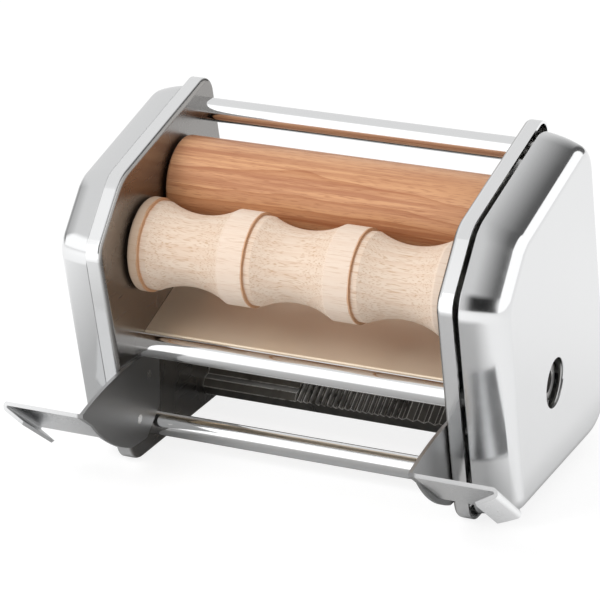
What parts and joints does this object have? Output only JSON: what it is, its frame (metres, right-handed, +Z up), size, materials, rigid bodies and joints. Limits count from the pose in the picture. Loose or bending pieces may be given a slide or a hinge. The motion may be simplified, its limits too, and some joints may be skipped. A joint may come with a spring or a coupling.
{
  "type": "gnocchi roller attachment",
  "caption": "Crank-driven gnocchi roller attachment with a grooved and a smooth wooden roller between chromed side housings, tie rods, a chute, a ridged board and hook brackets.",
  "frame": {"origin": "on the floor under the middle of the whole depth, midway between the two side plates", "axes": "+X along the rollers to the crank side, +Y from the hooks to the back, +Z up"},
  "size_m": [0.217, 0.163, 0.151],
  "materials": {
    "chrome": "bright chromed sheet and rod",
    "polished_steel": "polished steel sheet",
    "dark_metal": "dark satin metal",
    "pale_wood": "bare turned beech",
    "dark_wood": "oiled steamed beech",
    "nylon": "natural nylon",
    "steel": "plain turned steel"
  },
  "bodies": {
    "frame": {"left_inner_plate": "chrome", "right_inner_plate": "chrome", "left_cover": "chrome", "right_cover": "chrome", "left_bracket": "chrome", "right_bracket": "chrome", "top_tie_rod": "chrome", "front_tie_rod": "chrome", "low_tie_rod": "chrome", "chute_plate": "polished_steel", "ridged_board": "dark_metal", "left_front_bush": "nylon", "left_back_bush": "nylon", "right_front_bush": "nylon", "right_back_bush": "nylon", "crank_bush": "nylon", "left_cover_studs": "steel", "right_cover_studs": "steel", "cover_nuts": "steel", "tie_rod_screws": "steel", "bracket_rivets": "steel", "chute_rivets": "steel", "board_screws": "steel"},
    "crank": {"crank_shaft": "steel", "crank_gear": "nylon", "crank_clip": "steel"},
    "grooved_roller": {"front_roller": "pale_wood", "front_roller_shaft": "steel", "front_roller_gear": "nylon", "front_gear_pin": "steel", "front_shaft_clip": "steel"},
    "smooth_roller": {"back_roller": "dark_wood", "back_roller_shaft": "steel", "back_roller_gear": "nylon", "back_gear_pin": "steel", "back_shaft_clip": "steel"}
  },
  "joints": [
    {"name": "crank_turn", "type": "hinge", "parent": "frame", "child": "crank", "pos_m": [0, 0.00604, 0.05133], "axis": [1, 0, 0], "continuous": true},
    {"name": "grooved_roller_turn", "type": "hinge", "parent": "frame", "child": "grooved_roller", "pos_m": [0, -0.01946, 0.0955], "axis": [1, 0, 0], "continuous": true},
    {"name": "smooth_roller_turn", "type": "hinge", "parent": "frame", "child": "smooth_roller", "pos_m": [0, 0.01637, 0.11328], "axis": [1, 0, 0], "continuous": true}
  ],
  "couplings": [
    {"joint": "grooved_roller_turn", "follows": "crank_turn", "ratio": -1.55},
    {"joint": "smooth_roller_turn", "follows": "crank_turn", "ratio": 1.55}
  ]
}
